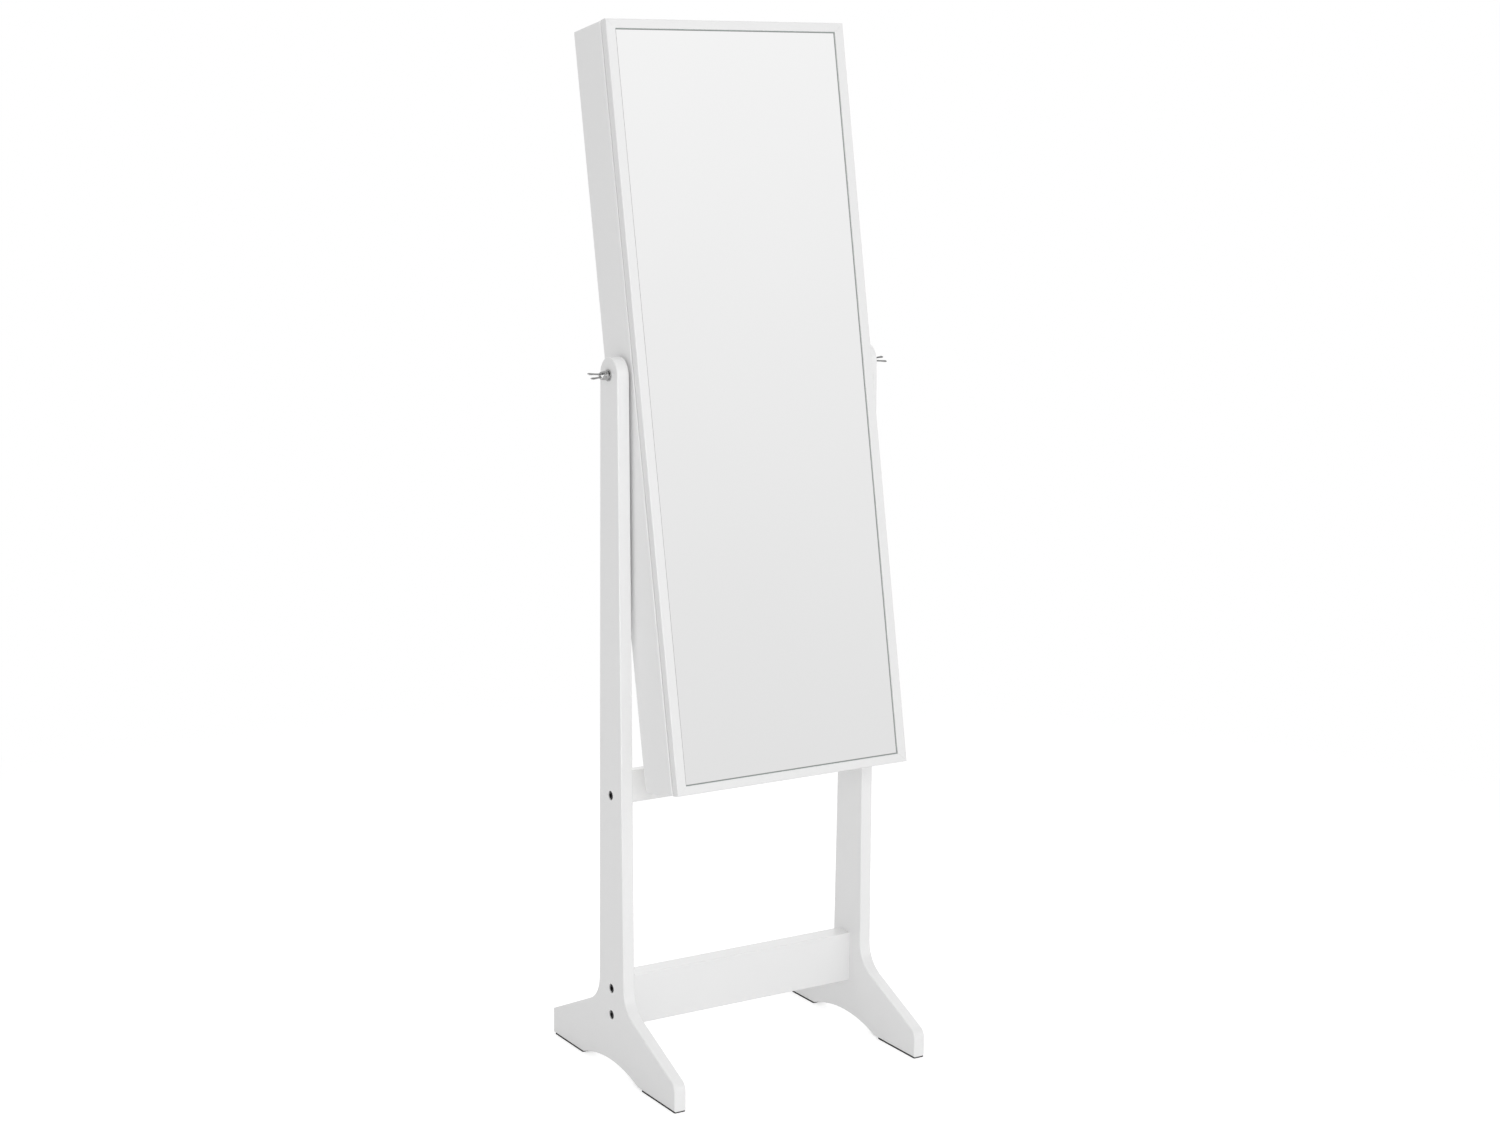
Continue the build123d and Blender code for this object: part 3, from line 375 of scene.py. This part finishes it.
pivot = Vector(joints["cabinet_tilt"]["pos_m"])
for side, label in ((-1, "left"), (1, "right")):
    node_name = f"{label}_wing_screw"
    low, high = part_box(node_name)
    inner = high.x if side < 0 else low.x
    washer_low, washer_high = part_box(f"{label}_washer")
    boss_start = (washer_low.x if side < 0 else washer_high.x) + side * boss_gap
    bm = bmesh.new()
    rings = []
    for share, width in boss_profile[1:-1]:
        radius = boss_radius * width
        rings.append([
            bm.verts.new(pivot + Vector((
                boss_start - pivot.x + side * boss_length * share,
                radius * cos(2 * pi * step / turned_points), radius * sin(2 * pi * step / turned_points))))
            for step in range(turned_points)])
    close_rings(bm, rings)
    shank_steps = int(abs(boss_start - inner) / thread_pitch * steps_per_turn)
    rings = []
    for turn in range(shank_steps + 1):
        reach = inner + (boss_start - inner) * turn / shank_steps
        ring = []
        for step in range(turned_points // 2):
            angle = 4 * pi * step / turned_points
            phase = abs(reach) / thread_pitch - angle / (2 * pi)
            radius = shank_radius - thread_depth * abs(2 * (phase - floor(phase)) - 1)
            ring.append(bm.verts.new((reach, pivot.y + radius * cos(angle), pivot.z + radius * sin(angle))))
        rings.append(ring)
    close_rings(bm, rings)
    for end in (-1, 1):
        rings = []
        for out, offset, half_width, half_thick in wing_stations:
            rings.append([
                bm.verts.new(pivot + wing_lean @ Vector((
                    boss_start - pivot.x + side * (boss_length + out * mm),
                    (end * offset + half_width * cos(2 * pi * step / wing_points)) * mm,
                    half_thick * sin(2 * pi * step / wing_points) * mm)))
                for step in range(wing_points)])
        close_rings(bm, rings)
    wing_screw = finish_piece(bm, f"{label}_wing_screw_cast", nickel, f"{label}_wing_screw", smooth_angle=50)
    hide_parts(node_name)

# ---- Pivot spacers, inserts and other small fittings: natural nylon spacers keep the cabinet off
# the posts, brass inserts take the screws. Nylon is slightly see-through white with a dull skin.
nylon, tree, shader = new_material("natural_nylon_moulded")
place = add_node(tree, "TexCoord", {}).outputs["Object"]
flow = add_node(tree, "TexNoise", {"Vector": place, "Scale": 1 / (3 * mm), "Detail": 2.0})
tone = add_node(
    tree, "Mix", {"Factor": flow.outputs["Fac"], 6: linear("#dedcd6"), 7: linear("#ebe9e4")},
    data_type="RGBA")
tree.links.new(tone.outputs[2], shader.inputs["Base Color"])
shader.inputs["Roughness"].default_value = 0.48
shader.inputs["Subsurface Weight"].default_value = 0.1
shader.inputs["Subsurface Scale"].default_value = 1.0 * mm
dress(nylon, ["pivot_spacers", "bracelet_rod_cups", "door_bumpers"])

brass, tree, shader = new_material("turned_brass")
place = add_node(tree, "TexCoord", {}).outputs["Object"]
tool_marks = add_node(tree, "TexNoise", {"Vector": place, "Scale": 1 / (0.3 * mm), "Detail": 2.0})
alloy = add_node(
    tree, "Mix", {"Factor": tool_marks.outputs["Fac"], 6: linear("#b08d4f"), 7: linear("#caa868")},
    data_type="RGBA")
tree.links.new(alloy.outputs[2], shader.inputs["Base Color"])
shader.inputs["Metallic"].default_value = 1.0
shader.inputs["Roughness"].default_value = 0.3
dress(brass, ["pivot_inserts"])

# ---- Cabinet case, shelves, lips and hook rails: 12 mm and thinner MDF wrapped in white melamine
# film, with its outer edges eased. The film has a satin face with a very fine upright grain.
film, tree, shader = new_material("white_melamine_film_on_mdf")
place = add_node(tree, "TexCoord", {}).outputs["Object"]
clouds = add_node(tree, "TexNoise", {"Vector": place, "Scale": 1 / (200 * mm), "Detail": 2.0})
lengthwise = add_node(
    tree, "Mapping", {"Vector": place, "Scale": (1 / (0.9 * mm), 1 / (0.9 * mm), 1 / (9 * mm))})
film_grain = add_node(
    tree, "TexNoise", {"Vector": lengthwise.outputs["Vector"], "Scale": 1.0, "Detail": 3.0})
white = add_node(
    tree, "Mix", {"Factor": clouds.outputs["Fac"], 6: linear("#f0f0f0"), 7: linear("#f2f2f2")},
    data_type="RGBA")
gloss = add_node(
    tree, "MapRange",
    {"Value": film_grain.outputs["Fac"], "From Min": 0.3, "From Max": 0.7, "To Min": 0.2, "To Max": 0.26})
skin = add_node(tree, "Bump", {"Height": film_grain.outputs["Fac"], "Strength": 0.1, "Distance": 0.03 * mm})
tree.links.new(white.outputs[2], shader.inputs["Base Color"])
tree.links.new(gloss.outputs["Result"], shader.inputs["Roughness"])
tree.links.new(skin.outputs["Normal"], shader.inputs["Normal"])
film_nodes = [
    "cabinet_left_side", "cabinet_right_side", "cabinet_top", "cabinet_bottom", "upper_shelf",
    "upper_shelf_lip", "ring_shelf", "lower_shelf", "lower_shelf_lip", "necklace_rail", "door_hook_rail"]
dress(film, film_nodes)

# ---- Cabinet back and door backing: 3 mm white-faced fibreboard. The back is slid into grooves in
# the case and the backing lies in the door's rebate. The thin paint lets the fibres of the board
# show as a fine fleck.
hardboard, tree, shader = new_material("white_faced_fibreboard")
place = add_node(tree, "TexCoord", {}).outputs["Object"]
fleck = add_node(
    tree, "TexNoise", {"Vector": place, "Scale": 1 / (1.2 * mm), "Detail": 6.0, "Roughness": 0.7})
paint = add_node(
    tree, "Mix", {"Factor": fleck.outputs["Fac"], 6: linear("#e4e3df"), 7: linear("#efeeea")},
    data_type="RGBA")
tooth = add_node(tree, "Bump", {"Height": fleck.outputs["Fac"], "Strength": 0.25, "Distance": 0.08 * mm})
tree.links.new(paint.outputs[2], shader.inputs["Base Color"])
tree.links.new(tooth.outputs["Normal"], shader.inputs["Normal"])
shader.inputs["Roughness"].default_value = 0.6
dress(hardboard, ["cabinet_back", "door_backing"])

# ---- Cabinet lining and door lining: black velvet on thin card, turned over the card's edges and
# glued in. The pile gives a deep black and a grey bloom at a low angle; its brushed patches are painted
# lighter, as painted sheen.
velvet, tree, shader = new_material("black_cotton_velvet")
place = add_node(tree, "TexCoord", {}).outputs["Object"]
# Brushed pile is real, but its lighter look is sheen; these patches paint that sheen into the base colour.
brushed_pile_sheen = add_node(
    tree, "TexNoise", {"Vector": place, "Scale": 1 / (45 * mm), "Detail": 3.0, "Distortion": 0.6})
# Real pile is finer. It is drawn 0.5 mm coarse so that it shows.
pile = add_node(tree, "TexNoise", {"Vector": place, "Scale": 1 / (0.5 * mm), "Detail": 3.0})
pile_sheen_patches = add_node(
    tree, "MapRange", {"Value": brushed_pile_sheen.outputs["Fac"], "From Min": 0.35, "From Max": 0.65})
deep = add_node(
    tree, "Mix", {"Factor": pile_sheen_patches.outputs["Result"], 6: linear("#151417"), 7: linear("#26252a")},
    data_type="RGBA")
tips = add_node(
    tree, "Mix", {"Factor": pile.outputs["Fac"], 6: deep.outputs[2], 7: linear("#2e2c32")},
    data_type="RGBA")
pile_bump = add_node(tree, "Bump", {"Height": pile.outputs["Fac"], "Strength": 0.7, "Distance": 0.2 * mm})
tree.links.new(tips.outputs[2], shader.inputs["Base Color"])
tree.links.new(pile_bump.outputs["Normal"], shader.inputs["Normal"])
shader.inputs["Roughness"].default_value = 0.95
shader.inputs["Sheen Weight"].default_value = 0.6
shader.inputs["Sheen Roughness"].default_value = 0.35
shader.inputs["Sheen Tint"].default_value = linear("#8d8b94")

lean_up = Vector(joints["door_swing"]["axis"]).normalized()
lean_back = lean_up.cross(Vector((1.0, 0.0, 0.0)))


def leaned(across, depth, rise):
    """A point of the leaning cabinet as a point of the frame."""
    return pivot + Vector((across, 0.0, 0.0)) + lean_back * depth + lean_up * rise


def leaning_box(name):
    """Lowest and highest across, depth and rise of a CAD node."""
    points = [vertex.co - pivot for vertex in nodes[name].data.vertices]
    parts = [(point.x, point.dot(lean_back), point.dot(lean_up)) for point in points]
    return [min(part[axis] for part in parts) for axis in range(3)], [
        max(part[axis] for part in parts) for axis in range(3)]


def steps_between(low, high, cell, turned):
    """Places across a sheet: close together at its turned edges, about one cell apart elsewhere."""
    count = round((high - low) / cell)
    inside = [low + (high - low) * step / count for step in range(1, count)]
    return [low, low + turned * 0.3, low + turned] + inside + [high - turned, high - turned * 0.3, high]


sheet_cell, turned_edge, swell_height, turn_share = 11 * mm, 1.2 * mm, 0.12 * mm, 0.9


def velvet_sheet(name, node_name, body, facing):
    """A velvet-covered card: a gently uneven face that turns back at its edges."""
    low, high = leaning_box(node_name)
    face, base = (low[1], high[1]) if facing < 0 else (high[1], low[1])
    across_places = steps_between(low[0], high[0], sheet_cell, turned_edge)
    rise_places = steps_between(low[2], high[2], sheet_cell, turned_edge)
    bm = bmesh.new()
    grid = []
    for across in across_places:
        column = []
        for rise in rise_places:
            edge = min(across - low[0], high[0] - across, rise - low[2], high[2] - rise)
            turn = 1 - min(1.0, max(0.0, edge) / turned_edge)
            wave = sin(across * 61 + rise * 13) * sin(rise * 47 - across * 19)
            turned_back = (base - face) * turn_share * turn ** 2
            swell = facing * swell_height * (1 + wave) / 2 * (1 - turn)
            depth = face + turned_back - swell
            column.append(bm.verts.new(leaned(across, depth, rise)))
        grid.append(column)
    for first, second in zip(grid, grid[1:]):
        for step in range(len(first) - 1):
            bm.faces.new((first[step], first[step + 1], second[step + 1], second[step]))
    sheet = finish_piece(bm, name, velvet, body)
    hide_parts(node_name)
    return sheet


velvet_sheet("cabinet_velvet", "cabinet_lining", "cabinet", -1)
velvet_sheet("door_velvet", "door_lining", "door", 1)

# ---- Ring cushion: three foam rolls wrapped in one piece of velvet and pressed side by side on
# the ring shelf, so that rings stand in the two slits between them.
low, high = leaning_box("ring_cushion")
roll_count, slit_depth = 3, 15 * mm
roll_width = (high[1] - low[1]) / roll_count
cushion_rise = high[2] - low[2]
top_points_per_roll, end_round, side_inset = 14, 7 * mm, 0.6 * mm
end_shares = [0, 0.12, 0.3, 0.55, 0.8, 1.0]
low_side = 0.4 * cushion_rise
puff_height, end_narrowing, end_sinking = 0.012, 0.14, 0.28
outline = [(side_inset, 0.0)]
for roll in range(roll_count):
    for step in range(top_points_per_roll + 1):
        angle = pi * (1 - step / top_points_per_roll)
        hump = sqrt(max(0.0, sin(angle)))
        foot = low_side if roll == 0 and step == 0 else cushion_rise - slit_depth
        foot = low_side if roll == roll_count - 1 and step == top_points_per_roll else foot
        outline.append((
            roll_width * (roll + 0.5 + 0.485 * cos(angle)),
            foot + (cushion_rise - foot) * hump if 0 < step < top_points_per_roll else foot))
outline.append((high[1] - low[1] - side_inset, 0.0))
middle_depth = (high[1] - low[1]) / 2
bm = bmesh.new()
stations = []
cushion_length = high[0] - low[0]
for share in end_shares:
    stations.append((low[0] + end_round * share, share))
inner_count = 40
for step in range(1, inner_count):
    stations.append((low[0] + end_round + (cushion_length - 2 * end_round) * step / inner_count, 1.0))
stations += [(low[0] + high[0] - across, share) for across, share in reversed(stations[:len(end_shares)])]
rings = []
for across, share in stations:
    swell = sqrt(1 - (1 - share) ** 2)
    ring = []
    for depth, rise in outline:
        puff = 1 - puff_height * (1 + sin(across * 90 + depth * 40))
        ring.append(bm.verts.new(leaned(
            across,
            low[1] + middle_depth + (depth - middle_depth) * (1 - end_narrowing + end_narrowing * swell),
            low[2] + rise * (1 - end_sinking + end_sinking * swell) * puff)))
    rings.append(ring)
close_rings(bm, rings)
cushion = finish_piece(bm, "ring_cushion_velvet", velvet, "cabinet", smooth_angle=85)
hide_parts("ring_cushion")

# ---- Earring plate: 2 mm white cast acrylic, laser cut with rows of slots, on four standoffs.
# Acrylic gives a hard clear gloss over an even milky white.
acrylic, tree, shader = new_material("white_cast_acrylic")
place = add_node(tree, "TexCoord", {}).outputs["Object"]
milk = add_node(tree, "TexNoise", {"Vector": place, "Scale": 1 / (60 * mm), "Detail": 1.0})
tone = add_node(
    tree, "Mix", {"Factor": milk.outputs["Fac"], 6: linear("#ebebea"), 7: linear("#f3f3f2")},
    data_type="RGBA")
tree.links.new(tone.outputs[2], shader.inputs["Base Color"])
shader.inputs["IOR"].default_value = 1.49
shader.inputs["Roughness"].default_value = 0.09
dress(acrylic, ["earring_plate"])

# ---- Magnetic catches: white moulded ABS cases that hold zinc-plated magnets. ABS has a fine
# moulded texture, and the magnets the same dull bright plate as the hinge screws.
abs_white, tree, shader = new_material("white_abs_moulded")
place = add_node(tree, "TexCoord", {}).outputs["Object"]
texture = add_node(tree, "TexNoise", {"Vector": place, "Scale": 1 / (0.4 * mm), "Detail": 2.0})
tone = add_node(
    tree, "Mix", {"Factor": texture.outputs["Fac"], 6: linear("#e2e2df"), 7: linear("#ececea")},
    data_type="RGBA")
sparked = add_node(tree, "Bump", {"Height": texture.outputs["Fac"], "Strength": 0.3, "Distance": 0.05 * mm})
tree.links.new(tone.outputs[2], shader.inputs["Base Color"])
tree.links.new(sparked.outputs["Normal"], shader.inputs["Normal"])
shader.inputs["Roughness"].default_value = 0.45
dress(abs_white, ["magnet_catches"])
dress(zinc, ["catch_magnets"])

# ---- Door frame: four mitred lengths of MDF moulding wrapped in white film, glued at the corners.
# The film is a touch glossier than the case's, with a very fine even grain.
moulding, tree, shader = new_material("white_film_wrapped_moulding")
place = add_node(tree, "TexCoord", {}).outputs["Object"]
drift = add_node(tree, "TexNoise", {"Vector": place, "Scale": 1 / (90 * mm), "Detail": 2.0})
white = add_node(
    tree, "Mix", {"Factor": drift.outputs["Fac"], 6: linear("#eaeaea"), 7: linear("#ececec")},
    data_type="RGBA")
fine = add_node(tree, "TexNoise", {"Vector": place, "Scale": 1 / (1.1 * mm), "Detail": 2.0})
gloss = add_node(
    tree, "MapRange",
    {"Value": drift.outputs["Fac"], "From Min": 0.3, "From Max": 0.7, "To Min": 0.18, "To Max": 0.24})
skin = add_node(tree, "Bump", {"Height": fine.outputs["Fac"], "Strength": 0.08, "Distance": 0.03 * mm})
tree.links.new(white.outputs[2], shader.inputs["Base Color"])
tree.links.new(gloss.outputs["Result"], shader.inputs["Roughness"])
tree.links.new(skin.outputs["Normal"], shader.inputs["Normal"])
dress(moulding, ["door_left_stile", "door_right_stile", "door_top_rail", "door_bottom_rail"])

# ---- Mirror glass: 4 mm float glass, silvered and backed with grey paint, held behind the lip by
# strips of foam tape. A thin grey band just inside the lip is painted shade for the lip's shadow and
# its reflection in the glass. The ground edges are a dull green and the paint is a matt grey.
silvered, tree, shader = new_material("silvered_float_glass")
place = add_node(tree, "TexCoord", {}).outputs["Object"]
float_wave = add_node(tree, "TexNoise", {"Vector": place, "Scale": 1 / (260 * mm), "Detail": 1.0})
silver = add_node(
    tree, "Mix", {"Factor": float_wave.outputs["Fac"], 6: linear("#f4f4f4"), 7: linear("#f6f6f6")},
    data_type="RGBA")
gloss = add_node(tree, "MapRange", {"Value": float_wave.outputs["Fac"], "To Min": 0.008, "To Max": 0.02})
tree.links.new(silver.outputs[2], shader.inputs["Base Color"])
tree.links.new(gloss.outputs["Result"], shader.inputs["Roughness"])
shader.inputs["Metallic"].default_value = 1.0

ground_edge, tree, shader = new_material("ground_glass_edge")
place = add_node(tree, "TexCoord", {}).outputs["Object"]
grit = add_node(tree, "TexNoise", {"Vector": place, "Scale": 1 / (0.5 * mm), "Detail": 2.0})
green = add_node(
    tree, "Mix", {"Factor": grit.outputs["Fac"], 6: linear("#7f948c"), 7: linear("#9db0a8")},
    data_type="RGBA")
tree.links.new(green.outputs[2], shader.inputs["Base Color"])
shader.inputs["Roughness"].default_value = 0.35

backing_paint, tree, shader = new_material("grey_mirror_backing_paint")
place = add_node(tree, "TexCoord", {}).outputs["Object"]
rolled = add_node(tree, "TexNoise", {"Vector": place, "Scale": 1 / (2 * mm), "Detail": 3.0})
grey = add_node(
    tree, "Mix", {"Factor": rolled.outputs["Fac"], 6: linear("#7b7f80"), 7: linear("#8a8e8f")},
    data_type="RGBA")
tree.links.new(grey.outputs[2], shader.inputs["Base Color"])
shader.inputs["Roughness"].default_value = 0.6

# Painted shade: a grey band on the glass face just inside the lip, standing in for the lip's shadow and
# reflection.
lip_shade_border, tree, shader = new_material("painted_lip_shade_on_float_glass")
place = add_node(tree, "TexCoord", {}).outputs["Object"]
lip_shade_mottle = add_node(tree, "TexNoise", {"Vector": place, "Scale": 1 / (7 * mm), "Detail": 3.0})
lip_shade_grey = add_node(
    tree, "Mix", {"Factor": lip_shade_mottle.outputs["Fac"], 6: linear("#8c8c8c"), 7: linear("#9a9a9a")},
    data_type="RGBA")
tree.links.new(lip_shade_grey.outputs[2], shader.inputs["Base Color"])
shader.inputs["Roughness"].default_value = 0.12

low, high = leaning_box("mirror_glass")
arris, under_lip, lip_shade_width, line_step = 0.5 * mm, 4.0 * mm, 1.1 * mm, 0.1 * mm
silver_place, edge_place, paint_place, lip_shade_place = 0, 1, 2, 3
glass_rings = [  # how far in from the edge, and depth, from the painted back round to the silver
    (arris, high[1]), (0.0, high[1] - arris), (0.0, low[1] + arris), (arris, low[1]), (under_lip, low[1]),
    (under_lip + lip_shade_width, low[1] + line_step)]
bm = bmesh.new()
rings = []
for inset, depth in glass_rings:
    rings.append([
        bm.verts.new(leaned(across, depth, rise)) for across, rise in (
            (low[0] + inset, low[2] + inset), (high[0] - inset, low[2] + inset),
            (high[0] - inset, high[2] - inset), (low[0] + inset, high[2] - inset))])
close_rings(bm, rings)
bm.faces.ensure_lookup_table()
# The ring of faces next to the silver gets the painted lip shade; the other rings are ground edge.
for order, face in enumerate(bm.faces):
    face.material_index = lip_shade_place if order // 4 == len(glass_rings) - 2 else edge_place
bm.faces[-2].material_index = paint_place
bm.faces[-1].material_index = silver_place
glass = finish_piece(bm, "silvered_glass", silvered, "door", smooth_angle=20)
glass.data.materials.append(ground_edge)
glass.data.materials.append(backing_paint)
glass.data.materials.append(lip_shade_border)
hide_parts("mirror_glass")

foam, tree, shader = new_material("white_foam_tape")
place = add_node(tree, "TexCoord", {}).outputs["Object"]
cells = add_node(tree, "TexVoronoi", {"Vector": place, "Scale": 1 / (0.6 * mm)})
tone = add_node(
    tree, "Mix", {"Factor": cells.outputs["Distance"], 6: linear("#cfcec9"), 7: linear("#e8e7e3")},
    data_type="RGBA")
tree.links.new(tone.outputs[2], shader.inputs["Base Color"])
shader.inputs["Roughness"].default_value = 0.85
dress(foam, ["mirror_tape"])
